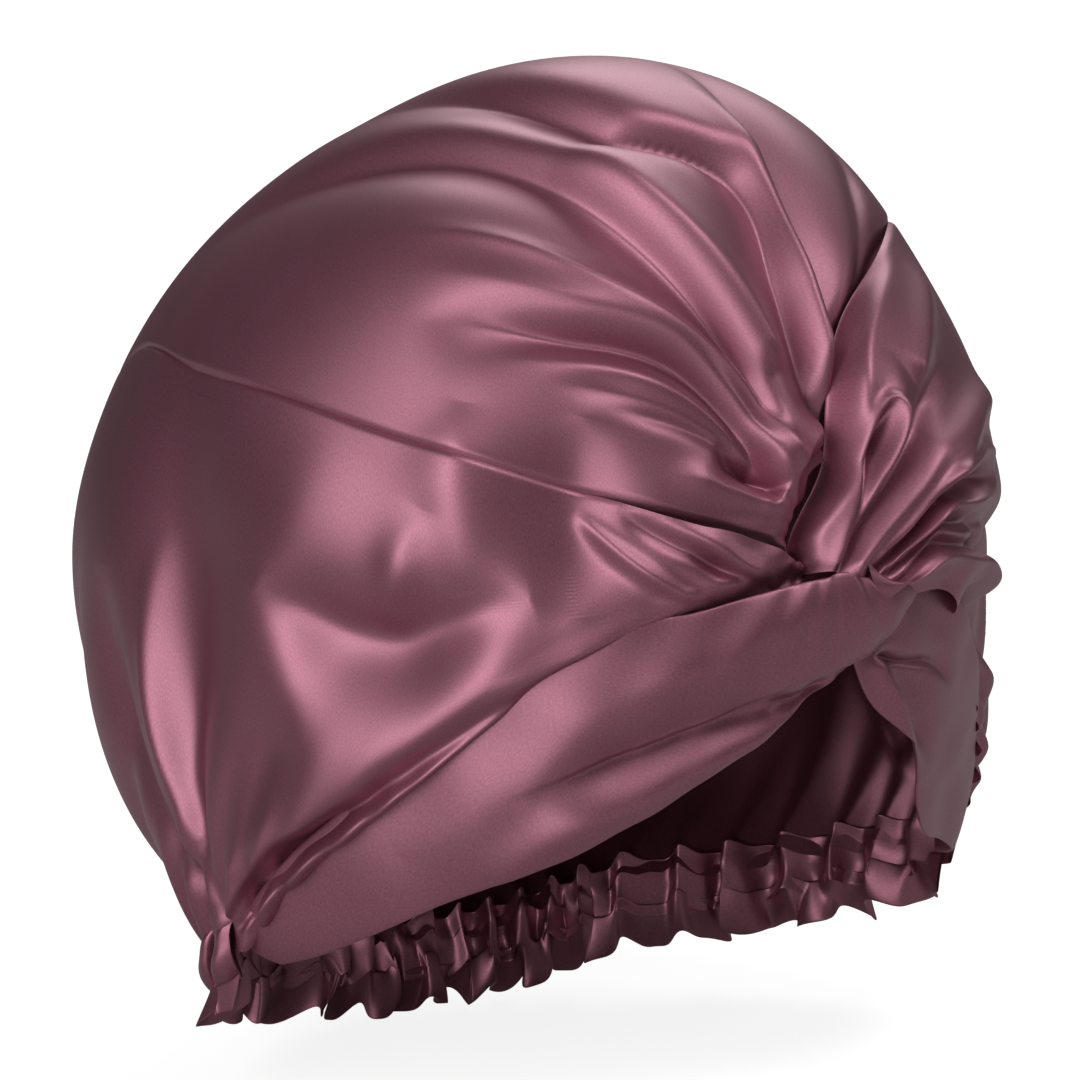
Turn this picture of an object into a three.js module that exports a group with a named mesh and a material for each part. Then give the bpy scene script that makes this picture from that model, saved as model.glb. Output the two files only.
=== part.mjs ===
// A satin sleep bonnet with a twisted front, millimetres, +Z up, the face towards -Y.
// The origin is the middle of the head opening, level with the gathers behind the ears.
// Every cloth piece is a wall laid over one round bag form, in places named by two angles:
// reach, from the twist (0) towards the head opening, and bearing, round the twist from
// straight up (0) to the wearer's right (positive) or left (negative), in degrees.
import * as THREE from 'three';

// Driving sizes of the bag
const BAG_SIDE = 121;
const BAG_FRONT = 112;
const BAG_BACK = 132;
const BAG_TOP = 134;
const BAG_BOTTOM = 125;
const MIDDLE_BACK = 33;
const MIDDLE_UP = 89;

// Driving sizes of the cloth
const WALL = 1.6;
const CASING_WALL = 2.4;
const RUFFLE_WALL = 1.2;
const CASING_WIDTH = 8;
const RUFFLE_WIDTH = 8.5;
const CLEARANCE = 0.4;
const BAND_CLEARANCE = 0.8;
const FOLD_DEPTH = 9;
const FOLD_WIDTH = 12;
const BAND_STEP = 2.4;
const BAND_SUNK = 3;
const HEM_GATHER_DEPTH = 2.6;
const HEM_GATHER_LENGTH = 34;
const NAPE_LIFT = 10;
const RUFFLE_WAVE = 4.2;
const BROAD_FORM = 10;
const TWIST_HOLE_DEPTH = 22;
const TWIST_HOLE_RADIUS = 11;
const TWIST_RISE = 9;
const ROLLED_EDGE = 5;
const ROLLED_EDGE_DROP = 4;

// How many gathers the elastic draws into the hem, and how many waves its frill makes
const HEM_GATHERS = 23;
const RUFFLE_WAVES = 14;

// Steps of the meshes
const ROWS = 21;
const CROWN_COLUMNS = 42;
const SIDE_COLUMNS = 22;
const BAND_COLUMNS = 29;
const BAND_ROWS = 5;
const HEM_COLUMNS = 112;

const SATIN = { color: 0x7c4a58, roughness: 0.42, metalness: 0.0 };
const BAND_SATIN = { color: 0x7a4856, roughness: 0.42, metalness: 0.0 };
const HEM_SATIN = { color: 0x6a3c4a, roughness: 0.46, metalness: 0.0 };

const rad = THREE.MathUtils.degToRad;
const mix = THREE.MathUtils.lerp;
const smooth = (x) => THREE.MathUtils.smoothstep(x, 0, 1);

// The bag: an upright round form, flatter at the nape and full at the sides of the opening
const MIDDLE = new THREE.Vector3(0, MIDDLE_BACK, MIDDLE_UP);
const ROUND_UPPER = 1.95;
const ROUND_LOWER_FRONT = 4.0;
const ROUND_LOWER_BACK = 2.3;
const ROUND_CHANGE = { from: 0.45, over: 0.7 };

function bagRadius(d) {
  const across = Math.hypot(d.x / BAG_SIDE, d.y / (d.y < 0 ? BAG_FRONT : BAG_BACK));
  const front = smooth((ROUND_CHANGE.from - d.y) / ROUND_CHANGE.over);
  const power = d.z > 0 ? ROUND_UPPER : mix(ROUND_LOWER_BACK, ROUND_LOWER_FRONT, front);
  const up = Math.abs(d.z) / (d.z > 0 ? BAG_TOP : BAG_BOTTOM);
  return Math.pow(Math.pow(across, power) + Math.pow(up, power), -1 / power);
}

function direction(turn, rise) {
  const level = Math.cos(rad(rise));
  return new THREE.Vector3(
    -Math.sin(rad(turn)) * level, -Math.cos(rad(turn)) * level, Math.sin(rad(rise)));
}

// Where the round form stands out or falls in, high as a share of BROAD_FORM and spread in degrees
const BROAD_FORMS = [
  { middle: direction(144, 57), spread: 27, high: -0.55 },
  { middle: direction(-80, 62), spread: 22, high: 0.32 },
  { middle: direction(124, -6), spread: 20, high: 0.45 },
  { middle: direction(-44, -33), spread: 21, high: -1.1 },
  { middle: direction(100, -30), spread: 16, high: 0.3 },
];

function broadRelief(d) {
  return BROAD_FORM * BROAD_FORMS.reduce((sum, { middle, spread, high }) => {
    const away = THREE.MathUtils.radToDeg(d.angleTo(middle)) / spread;
    return sum + high * Math.exp(-away * away);
  }, 0);
}

// The map from reach and bearing to a direction: circles through the twist and the opening
const TWIST = direction(-4, 12);
const OPENING = direction(0, -68);
const UPWARD = new THREE.Vector3(0, 0, 1).addScaledVector(TWIST, -TWIST.z).normalize();
const RIGHTWARD = new THREE.Vector3().crossVectors(TWIST, UPWARD);

function divide(a, b) {
  const size = b.x * b.x + b.y * b.y;
  return { x: (a.x * b.x + a.y * b.y) / size, y: (a.y * b.x - a.x * b.y) / size };
}

function flatPlace(d) {
  const c = 1 + d.dot(TWIST);
  return { x: d.dot(UPWARD) / c, y: d.dot(RIGHTWARD) / c };
}

const OPENING_PLACE = flatPlace(OPENING);

function spot(reach, bearing) {
  const size = Math.tan(rad(reach) / 2);
  const w = { x: size * Math.cos(rad(bearing)), y: size * Math.sin(rad(bearing)) };
  const share = divide(w, OPENING_PLACE);
  const below = { x: 1 + share.x, y: share.y };
  const z = divide(w, below);
  const m = z.x * z.x + z.y * z.y;
  const c = (1 - m) / (1 + m);
  const d = TWIST.clone().multiplyScalar(c)
    .addScaledVector(UPWARD, (1 + c) * z.x).addScaledVector(RIGHTWARD, (1 + c) * z.y);
  const r = bagRadius(d) + broadRelief(d);
  const stretch = rad(r) * 2 / (1 + m) / (below.x * below.x + below.y * below.y);
  return { d, r, across: stretch * size, along: stretch * (1 + size * size) / 2 };
}

// A value read from rows of [x, value], eased from row to row
function along(rows, x) {
  const last = rows.length - 1;
  if (x <= rows[0][0]) return rows[0][1];
  if (x >= rows[last][0]) return rows[last][1];
  const i = rows.findIndex((row) => row[0] > x);
  const [x0, y0] = rows[i - 1];
  const [x1, y1] = rows[i];
  const rise = (a, b) => (b[1] - a[1]) / (b[0] - a[0]);
  const start = i > 1 ? rise(rows[i - 2], rows[i]) : rise(rows[0], rows[1]);
  const finish = i < last ? rise(rows[i - 1], rows[i + 1]) : rise(rows[last - 1], rows[last]);
  const t = (x - x0) / (x1 - x0);
  const back = 1 - t;
  const bend = (x1 - x0) * t * back * (start * back - finish * t);
  return y0 * (1 + 2 * t) * back * back + y1 * t * t * (3 - 2 * t) + bend;
}

// Edges of the pieces and the lines that their main folds follow, rows of [reach, bearing], and
// the hem, rows of [bearing, reach]
const SEAM_RIGHT = [
  [4, 100], [12, 77], [19, 66], [25, 58.5], [37, 47], [44, 40], [50, 33], [57, 24], [62, 17.5], [74, 11],
  [125, 9]];
const SEAM_LEFT = [[4, -26], [12, -32], [17, -29], [26, -29], [31, -28], [48, -29], [70, -22], [125, -12]];
const EDGE_RIGHT = [
  [4.1, 178], [6, 145], [8, 127], [13, 110], [22, 97], [37, 86], [55, 79], [72, 69], [85, 58], [92.5, 51.5]];
const EDGE_LEFT = [
  [4.1, -178], [6, -153], [8, -135], [13, -115], [21, -97], [30, -95], [37, -92], [48, -88], [57, -83.5],
  [67, -78], [81, -67], [88.2, -61.5]];
const FOLD_LINE_CROWN = [[1, 12], [50, 12], [62, 4], [80, -4], [125, -2]];
const FOLD_LINE_RIGHT = [
  [4, 130], [12, 100], [19, 82], [32, 67], [50, 50], [63, 41.5], [68, 41], [77, 44], [84, 46.5], [92, 46.5],
  [98, 39], [112, 30]];
const FOLD_LINE_LEFT = [
  [4, -95], [12, -68], [20, -62], [28, -61], [40, -62], [50, -57], [58, -51.5], [63, -50.5], [73, -53.5],
  [81, -56.5], [89, -56.5], [96, -48.5], [112, -36]];
const HEM = [
  [-59.5, 88.6], [-52.5, 92.3], [-44.4, 96.8], [-32.3, 104.1], [-20.3, 109.3], [-8.4, 111.8], [0, 112],
  [12, 110], [24, 105.5], [36, 99], [44, 95], [49, 92.5]];

// Folds: path as [reach, bearing] from the far end to the twist or the gather, wide as shares of
// FOLD_WIDTH at both ends, high as a share of FOLD_DEPTH (a valley is below zero), lean to one side
const CROWN_FOLDS = [
  { path: [[62, 13], [44, 11], [26, 11], [11, 11]], wide: [1.2, 0.4], high: -0.9, lean: 0.25 },
  { path: [[43, 29], [33, 28], [24, 24], [15, 26], [8, 31]], wide: [0.7, 0.45], high: -1, lean: 0.2 },
  { path: [[34, 36], [22, 33], [13, 31]], wide: [0.5, 0.35], high: -0.3, lean: 0 },
  { path: [[18, 39], [8, 32]], wide: [0.45, 0.3], high: -0.6, lean: 0 },
  { path: [[56, 4], [39, 3], [34, -6], [26, -7], [18, -10], [11, -20]],
    wide: [1.2, 0.5], high: -1.2, lean: 0.2 },
  { path: [[46, -8], [34, -11], [28, -13], [18, -19], [10, -24]],
    wide: [0.9, 0.45], high: -0.85, lean: -0.25 },
  { path: [[44, -20], [33, -22], [24, -22]], wide: [0.4, 0.3], high: -0.3, lean: 0 },
  { path: [[42, 8], [33, 7], [26, 5], [18, 2]], wide: [0.9, 0.5], high: 0.55, lean: 0 },
  { path: [[44, 21], [31, 20], [24, 17], [18, 13], [12, 11]], wide: [0.5, 0.3], high: 0.35, lean: 0 },
  { path: [[42, -6], [34, -9], [28, -10], [20, -14], [12, -24]], wide: [0.55, 0.35], high: 0.45, lean: 0 },
  { path: [[44, 24], [33, 24], [24, 20], [14, 19], [7, 22]], wide: [0.7, 0.35], high: 0.5, lean: 0 },
  { path: [[40, 34], [28, 31], [20, 29], [12, 30]], wide: [0.8, 0.35], high: 0.4, lean: 0 },
];
const BUNDLE_FOLDS = [
  { path: [[40, -26], [31, -27], [24, -25], [17, -24], [13, -24]],
    wide: [0.7, 0.5], high: -0.75, lean: 0.25 },
  { path: [[45, -36], [32, -40], [26, -43], [20, -50], [13, -58], [7, -72]],
    wide: [0.9, 0.45], high: -1, lean: 0 },
  { path: [[38, -58], [24, -67], [17, -74], [11, -88], [6, -125]], wide: [0.55, 0.35], high: -0.5, lean: 0 },
  { path: [[40, -66], [26, -71], [15, -84], [9, -103]], wide: [0.65, 0.35], high: -0.5, lean: 0 },
  { path: [[60, -62], [40, -72], [30, -75], [21, -81], [9, -116]], wide: [0.8, 0.3], high: -0.9, lean: 0 },
  { path: [[34, -32], [22, -33], [15, -32]], wide: [1, 0.5], high: 0.5, lean: 0 },
  { path: [[38, -50], [28, -54], [20, -62], [12, -76], [7, -105]], wide: [1, 0.45], high: 0.6, lean: 0 },
  { path: [[58, -70], [37, -80], [29, -84], [20, -92], [12, -108]], wide: [0.7, 0.35], high: 0.75, lean: 0 },
  { path: [[66, -78], [52, -84], [42, -88], [33, -92]], wide: [0.8, 0.5], high: -0.8, lean: 0 },
];
const SIDE_FOLDS = [
  { path: [[61, 42], [55, 48], [50, 55], [44, 64]], wide: [1, 0.9], high: -0.65, lean: 0 },
  { path: [[58, 60], [50, 70], [40, 74]], wide: [1, 0.8], high: 0.25, lean: 0 },
  { path: [[33, 66], [28, 80], [22, 92]], wide: [0.6, 0.4], high: -0.4, lean: 0 },
  { path: [[27, 67], [20, 88]], wide: [0.5, 0.35], high: -0.3, lean: 0 },
  { path: [[23, 62], [19, 66], [12, 68], [6, 50]], wide: [0.4, 0.3], high: -0.4, lean: 0 },
];
const GATHER_FOLDS = [
  { path: [[66, 33], [71, 34], [79, 38], [86, 44], [91, 48]], wide: [0.9, 0.3], high: 0.7, lean: 0 },
  { path: [[56, 36], [66, 38.5], [77, 43], [84, 47.5], [90, 49]], wide: [0.9, 0.3], high: -0.8, lean: 0 },
  { path: [[64, 46], [74, 48], [84, 51]], wide: [0.7, 0.3], high: 0.5, lean: 0 },
  { path: [[46, 45], [58, 47], [68, 51], [78, 53.5], [88, 51]], wide: [1.4, 0.35], high: -0.9, lean: 0 },
  { path: [[64, 64], [72, 61], [81, 54], [87, 51], [91, 50]], wide: [0.9, 0.3], high: 0.7, lean: 0 },
  { path: [[72, 65], [82, 58], [89, 52]], wide: [0.5, 0.3], high: -0.5, lean: 0 },
];
const BACK_FOLDS = [
  { path: [[70, 6], [95, 4], [122, 5]], wide: [1.3, 0.6], high: -0.6, lean: 0 },
  { path: [[66, 22], [86, 20], [116, 20]], wide: [1.5, 0.6], high: -0.65, lean: 0 },
  { path: [[74, 31], [90, 32], [106, 34]], wide: [1, 0.5], high: -0.5, lean: 0 },
];

// The twist is a little to the left, so a place mirrored to the left side has other angles
const MIRROR_TURN = 9.5;
const MIRROR_NEARER = 0.12;
const HEM_FAR = 112;
const mirroredPlace = ([reach, bearing]) => [
  reach - MIRROR_NEARER * (HEM_FAR - Math.min(reach, HEM_FAR)), -bearing - MIRROR_TURN];
const mirrored = (folds) => folds.map(({ path, ...rest }) => ({ ...rest, path: path.map(mirroredPlace) }));
const outwards = (path) => (path[0][0] < path[path.length - 1][0] ? path : [...path].reverse());

const FOLDS = [
  CROWN_FOLDS, BUNDLE_FOLDS, SIDE_FOLDS, GATHER_FOLDS, mirrored(GATHER_FOLDS), BACK_FOLDS,
  mirrored(BACK_FOLDS),
].flat().map((fold) => ({
  ...fold, from: fold.path[0][0], to: fold.path[fold.path.length - 1][0], rows: outwards(fold.path),
}));
const FADE_FAR = 0.35;
const FADE_NEAR = 0.12;
const FOLD_POWER = 1.7;

function foldHeight(fold, reach, bearing, place) {
  const t = (reach - fold.from) / (fold.to - fold.from);
  if (t <= 0 || t >= 1) return 0;
  const off = (bearing - along(fold.rows, reach)) * place.across;
  const side = off > 0 ? 1 + fold.lean : 1 - fold.lean;
  const width = FOLD_WIDTH * mix(fold.wide[0], fold.wide[1], t) * side;
  const ends = smooth(t / FADE_FAR) * smooth((1 - t) / FADE_NEAR);
  return FOLD_DEPTH * fold.high * ends * Math.exp(-Math.pow(Math.abs(off) / width, FOLD_POWER));
}

// Where the bundle that runs into the twist stands highest, and how far it spreads
const BUNDLE = { reach: 12, spread: 13, bearing: -78, half: 48 };
const GATHER_LEFT = HEM[0][0];
const GATHER_RIGHT = HEM[HEM.length - 1][0];
const HEM_MIDDLE = -5;
const HEM_RAISED = { bearing: -26, half: 11, lift: 6 };

// The place along the hem, from -1 at the left gather through 0 at the nape to 1 at the right one
function hemShare(bearing) {
  const half = bearing > HEM_MIDDLE ? GATHER_RIGHT - HEM_MIDDLE : HEM_MIDDLE - GATHER_LEFT;
  return THREE.MathUtils.clamp((bearing - HEM_MIDDLE) / half, -1, 1);
}

const hemReach = (bearing) => along(HEM, bearing);
const hemWave = (bearing) => Math.sin(Math.PI * HEM_GATHERS * (hemShare(bearing) + 1));

function hemLift(bearing) {
  const raised = (bearing - HEM_RAISED.bearing) / HEM_RAISED.half;
  return NAPE_LIFT * Math.cos(Math.PI / 2 * hemShare(bearing)) + HEM_RAISED.lift * Math.exp(-raised * raised);
}

// How far the cloth of the bag stands out from the round form
function bagRelief(reach, bearing, place) {
  let out = FOLDS.reduce((sum, fold) => sum + foldHeight(fold, reach, bearing, place), 0);
  const hole = reach * place.along / TWIST_HOLE_RADIUS;
  out -= TWIST_HOLE_DEPTH * Math.exp(-hole * hole);
  const turn = (bearing - BUNDLE.bearing) / BUNDLE.half;
  const away = (reach - BUNDLE.reach) / BUNDLE.spread;
  out += TWIST_RISE * Math.exp(-away * away - turn * turn);
  const toEdge = Math.min(along(EDGE_RIGHT, reach) - bearing, bearing - along(EDGE_LEFT, reach));
  out -= ROLLED_EDGE_DROP * Math.exp(-Math.max(toEdge, 0) * place.across / ROLLED_EDGE);
  const toHem = (hemReach(bearing) - reach) * place.along / HEM_GATHER_LENGTH;
  return out + (HEM_GATHER_DEPTH * hemWave(bearing) - hemLift(bearing)) * Math.exp(-toHem * toHem);
}

function onBag(reach, bearing, lift) {
  const place = spot(reach, bearing);
  const r = place.r + lift(reach, bearing, place);
  return [r, r - WALL].map((size) => place.d.clone().multiplyScalar(size).add(MIDDLE));
}

// A closed wall over a grid of pairs of points, one on its outer and one on its inner face
function wallMesh(name, look, columns, rows, pair) {
  const points = [];
  const faces = [];
  for (let i = 0; i <= columns; i += 1) {
    for (let j = 0; j <= rows; j += 1) points.push(...pair(i / columns, j / rows));
  }
  const at = (i, j, side) => 2 * (i * (rows + 1) + j) + side;
  const quad = (a, b, c, d) => {
    const shorter = points[a].distanceTo(points[c]) < points[b].distanceTo(points[d]);
    faces.push(...(shorter ? [a, b, c, a, c, d] : [a, b, d, b, c, d]));
  };
  for (let i = 0; i < columns; i += 1) {
    for (let j = 0; j < rows; j += 1) {
      quad(at(i, j, 0), at(i + 1, j, 0), at(i + 1, j + 1, 0), at(i, j + 1, 0));
      quad(at(i, j, 1), at(i, j + 1, 1), at(i + 1, j + 1, 1), at(i + 1, j, 1));
    }
    quad(at(i, 0, 1), at(i + 1, 0, 1), at(i + 1, 0, 0), at(i, 0, 0));
    quad(at(i, rows, 0), at(i + 1, rows, 0), at(i + 1, rows, 1), at(i, rows, 1));
  }
  for (let j = 0; j < rows; j += 1) {
    quad(at(0, j, 0), at(0, j + 1, 0), at(0, j + 1, 1), at(0, j, 1));
    quad(at(columns, j, 1), at(columns, j + 1, 1), at(columns, j + 1, 0), at(columns, j, 0));
  }
  const geometry = new THREE.BufferGeometry();
  geometry.setAttribute('position', new THREE.Float32BufferAttribute(points.flatMap((p) => p.toArray()), 3));
  geometry.setIndex(volume(points, faces) < 0 ? faces.reverse() : faces);
  geometry.computeVertexNormals();
  const mesh = new THREE.Mesh(geometry, new THREE.MeshStandardMaterial(look));
  mesh.name = name;
  return mesh;
}

function volume(points, faces) {
  let sum = 0;
  for (let i = 0; i < faces.length; i += 3) {
    const [a, b, c] = [points[faces[i]], points[faces[i + 1]], points[faces[i + 2]]];
    sum += a.dot(new THREE.Vector3().crossVectors(b, c));
  }
  return sum;
}

// A panel of the bag from the twist to the hem, between its lower edge, a line that its main
// folds follow and its upper edge
const PANEL_START = 1.6;
const ROW_CROWDING = 1.15;
const HEM_SEARCH_STEPS = 12;

function lineBetween(lines, share, reach, inset) {
  const [lower, middle, upper] = lines.map((rows) => along(rows, reach));
  if (share < 0.5) return mix(lower + inset, middle, share * 2);
  return mix(middle, upper - inset, share * 2 - 1);
}

function panelEnd(lines, share) {
  let reach = HEM_FAR;
  for (let i = 0; i < HEM_SEARCH_STEPS; i += 1) {
    reach = (reach + hemReach(lineBetween(lines, share, reach, 0))) / 2;
  }
  return reach;
}

function panel(name, columns, lines) {
  const pair = (u, v) => {
    const reach = mix(PANEL_START, panelEnd(lines, u), Math.pow(v, ROW_CROWDING));
    const inset = CLEARANCE / 2 / spot(reach, 0).across;
    return onBag(reach, lineBetween(lines, u, reach, inset), bagRelief);
  };
  return wallMesh(name, SATIN, columns, ROWS, pair);
}

// A front band, from the gather to the twist. Its upper edge runs along the edge of the panels:
// upper is how far beyond the foot of the twist it is, and below zero it has passed the twist.
// lower is [reach, bearing] of its lower edge, layer the share of its width that the outer of its
// two layers covers, rise its share of the rise at the twist.
const BAND_RIGHT = [
  { upper: 88, lower: [95.5, 54], layer: 0.1, rise: 0 },
  { upper: 81, lower: [94, 62], layer: 0.1, rise: 0 },
  { upper: 68, lower: [89, 77], layer: 0.15, rise: 0 },
  { upper: 51, lower: [78, 99], layer: 0.2, rise: 0 },
  { upper: 33, lower: [63, 120], layer: 0.3, rise: 0.1 },
  { upper: 18, lower: [49, 138], layer: 0.42, rise: 0.35 },
  { upper: 4, lower: [35, 168], layer: 0.6, rise: 0.8 },
  { upper: 0, lower: [27, 188], layer: 0.72, rise: 1 },
  { upper: -4, lower: [21, 205], layer: 0.95, rise: 0.9 },
  { upper: -9, lower: [20.6, 226], layer: 1, rise: 0.7 },
  { upper: -15, lower: [20.6, 248], layer: 1, rise: 0.3 },
];
const BAND_LEFT = [
  { upper: 83.8, lower: [91.5, 64], layer: 0.1, rise: 0 },
  { upper: 76, lower: [90.5, 73], layer: 0.1, rise: 0 },
  { upper: 62, lower: [87, 90], layer: 0.15, rise: 0 },
  { upper: 46, lower: [81, 109], layer: 0.2, rise: 0 },
  { upper: 34, lower: [71, 121], layer: 0.3, rise: 0 },
  { upper: 28, lower: [53, 129], layer: 0.3, rise: 0 },
  { upper: 23, lower: [42, 141], layer: 0.3, rise: 0 },
  { upper: 18, lower: [24.5, 153], layer: 0.3, rise: 0 },
];
const TWIST_FOOT = 4.6;
const LAYER_EDGE = 0.12;
const RISE_START = 0.35;

function band(name, stations, near, far) {
  const column = (pick) => stations.map((station, i) => [i / (stations.length - 1), pick(station)]);
  const upper = column((station) => station.upper);
  const lowerReach = column((station) => station.lower[0]);
  const lowerBearing = column((station) => station.lower[1]);
  const layer = column((station) => station.layer);
  const rise = column((station) => station.rise);
  const pair = (u, v) => {
    const beyond = along(upper, u);
    const upperReach = TWIST_FOOT + Math.abs(beyond);
    const gap = BAND_CLEARANCE / spot(upperReach, 0).across;
    const edge = Math.abs(along(beyond < 0 ? far : near, upperReach)) + gap;
    const reach = mix(upperReach, along(lowerReach, u), v);
    const bearing = mix(beyond < 0 ? 360 - edge : edge, along(lowerBearing, u), v);
    const step = smooth((along(layer, u) - v) / LAYER_EDGE + 0.5) - 1;
    const high = TWIST_RISE * along(rise, u) * Math.sin(Math.PI * mix(RISE_START, 1, v));
    return onBag(reach, Math.sign(near[0][1]) * bearing, () => high + BAND_STEP * step - BAND_SUNK);
  };
  return wallMesh(name, BAND_SATIN, BAND_COLUMNS, BAND_ROWS, pair);
}

// The elastic casing under the hem and its frill, which follow the edge of the bag
const CASING_INWARD = 0.25;
const HEM_END = 0.3;
const FLAT_PATCH = { bearing: -30, half: 3.5 };

function hemPoint(bearing, down, out) {
  const reach = hemReach(bearing);
  const place = spot(reach, bearing);
  const r = place.r + bagRelief(reach, bearing, place) - WALL / 2;
  const level = new THREE.Vector3(place.d.x, place.d.y, 0).normalize();
  return place.d.clone().multiplyScalar(r).add(MIDDLE).addScaledVector(level, out)
    .add(new THREE.Vector3(0, 0, -down));
}

function gatherStrength(bearing) {
  const off = (bearing - FLAT_PATCH.bearing) / FLAT_PATCH.half;
  return 1 - Math.exp(-off * off);
}

function hemStrip(name, { wall, top, width, waves, swing, flare }) {
  const pair = (u, v) => {
    const bearing = mix(GATHER_RIGHT - HEM_END, GATHER_LEFT + HEM_END, u);
    const down = top + width * v;
    const wave = Math.sin(Math.PI * 2 * waves * u) * mix(swing[0], swing[1], v) * gatherStrength(bearing);
    const out = wave - CASING_INWARD * down + flare * v * v;
    return [hemPoint(bearing, down, out + wall / 2), hemPoint(bearing, down, out - wall / 2)];
  };
  return wallMesh(name, HEM_SATIN, HEM_COLUMNS, 2, pair);
}

const CASING = {
  wall: CASING_WALL, top: WALL + 2 * CLEARANCE, width: CASING_WIDTH,
  waves: HEM_GATHERS, swing: [0.2, 1.2], flare: 0,
};
const RUFFLE = {
  wall: RUFFLE_WALL, top: WALL + CASING_WIDTH + 3 * CLEARANCE, width: RUFFLE_WIDTH,
  waves: RUFFLE_WAVES, swing: [1.2, RUFFLE_WAVE], flare: 3,
};

const bonnet = new THREE.Group();
bonnet.add(
  panel('crown_panel', CROWN_COLUMNS, [SEAM_LEFT, FOLD_LINE_CROWN, SEAM_RIGHT]),
  panel('right_side_panel', SIDE_COLUMNS, [SEAM_RIGHT, FOLD_LINE_RIGHT, EDGE_RIGHT]),
  panel('left_side_panel', SIDE_COLUMNS, [EDGE_LEFT, FOLD_LINE_LEFT, SEAM_LEFT]),
  band('right_front_band', BAND_RIGHT, EDGE_RIGHT, EDGE_LEFT),
  band('left_front_band', BAND_LEFT, EDGE_LEFT, EDGE_RIGHT),
  hemStrip('nape_casing', CASING),
  hemStrip('nape_ruffle', RUFFLE),
);

export default bonnet;
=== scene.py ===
"""A satin sleep bonnet with a twisted front, in a plain studio.

Every sheet of cloth is a fine grid laid over one round bag form. Its places are named by two
angles: reach, from the twist (0) towards the head opening, and bearing, round the twist from
straight up (0) to the wearer's right (positive) or left (negative), in degrees. Lengths are in
millimetres until a mesh is made.
"""
import math

import bpy
import numpy as np
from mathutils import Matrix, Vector


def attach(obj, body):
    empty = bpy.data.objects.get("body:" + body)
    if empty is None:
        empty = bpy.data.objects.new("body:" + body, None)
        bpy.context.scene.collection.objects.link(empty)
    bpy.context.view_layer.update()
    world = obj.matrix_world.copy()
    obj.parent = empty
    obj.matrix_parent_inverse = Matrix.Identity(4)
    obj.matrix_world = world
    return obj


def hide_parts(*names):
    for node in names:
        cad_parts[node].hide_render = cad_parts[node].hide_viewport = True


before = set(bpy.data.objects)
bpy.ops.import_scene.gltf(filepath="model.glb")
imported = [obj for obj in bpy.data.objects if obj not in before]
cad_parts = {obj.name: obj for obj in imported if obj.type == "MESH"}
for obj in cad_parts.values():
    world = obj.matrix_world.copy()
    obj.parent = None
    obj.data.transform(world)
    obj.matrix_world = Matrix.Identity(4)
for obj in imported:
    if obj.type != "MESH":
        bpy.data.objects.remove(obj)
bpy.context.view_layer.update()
MM = 0.001

# The bag: an upright round form, flatter at the nape and full at the sides of the opening
BAG_SIDE = 121
BAG_FRONT = 112
BAG_BACK = 132
BAG_TOP = 134
BAG_BOTTOM = 125
MIDDLE = np.array([0, 33, 89])
ROUND_UPPER = 1.95
ROUND_LOWER_FRONT = 4.0
ROUND_LOWER_BACK = 2.3
ROUND_CHANGE_FROM = 0.45
ROUND_CHANGE_OVER = 0.7

# Sizes of the cloth
SEAM_WIDTH = 1.0
SEAM_DEPTH = 1.1
SEAM_SHARP = 1.3
UNDER_SEAM = 1.8
UNDER_SEAM_OVER = 1.2
CASING_WIDTH = 9.5
RUFFLE_WIDTH = 8.5
HEM_GATHERS = 23
RUFFLE_WAVES = 14


def mix(a, b, t):
    return a + (b - a) * t


def smooth(x):
    x = np.clip(x, 0, 1)
    return x * x * (3 - 2 * x)


def bell(x, power=2.0):
    return np.exp(-np.abs(x) ** power)


def waves(rows, x):
    """A sum of waves, each row its size, rate and start."""
    return sum(size * np.sin(rate * x + start) for size, rate, start in rows)


def along(rows, x):
    """Values read from rows of (x, value), eased from row to row."""
    table = np.array(rows, float)
    xs, ys = table[:, 0], table[:, 1]
    slopes = np.empty(len(xs))
    slopes[1:-1] = (ys[2:] - ys[:-2]) / (xs[2:] - xs[:-2])
    slopes[0] = (ys[1] - ys[0]) / (xs[1] - xs[0])
    slopes[-1] = (ys[-1] - ys[-2]) / (xs[-1] - xs[-2])
    i = np.clip(np.searchsorted(xs, x, side="right") - 1, 0, len(xs) - 2)
    step = xs[i + 1] - xs[i]
    t = np.clip((x - xs[i]) / step, 0, 1)
    back = 1 - t
    bend = step * t * back * (slopes[i] * back - slopes[i + 1] * t)
    return ys[i] * (1 + 2 * t) * back ** 2 + ys[i + 1] * t * t * (3 - 2 * t) + bend


def direction(turn, rise):
    turn, rise = math.radians(turn), math.radians(rise)
    return np.array([-math.sin(turn) * math.cos(rise), -math.cos(turn) * math.cos(rise), math.sin(rise)])


def bag_radius(d):
    x, y, z = d[..., 0], d[..., 1], d[..., 2]
    across = np.hypot(x / BAG_SIDE, y / np.where(y < 0, BAG_FRONT, BAG_BACK))
    front = smooth((ROUND_CHANGE_FROM - y) / ROUND_CHANGE_OVER)
    power = np.where(z > 0, ROUND_UPPER, mix(ROUND_LOWER_BACK, ROUND_LOWER_FRONT, front))
    up = np.abs(z) / np.where(z > 0, BAG_TOP, BAG_BOTTOM)
    return (across ** power + up ** power) ** (-1 / power)


# The map from reach and bearing to a direction: circles through the twist and the opening
TWIST = direction(-4, 12)
OPENING = direction(0, -68)
UPWARD = np.array([0, 0, 1]) - TWIST[2] * TWIST
UPWARD = UPWARD / np.linalg.norm(UPWARD)
RIGHTWARD = np.cross(TWIST, UPWARD)
OPENING_PLACE = ((OPENING @ UPWARD) + 1j * (OPENING @ RIGHTWARD)) / (1 + OPENING @ TWIST)


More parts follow.
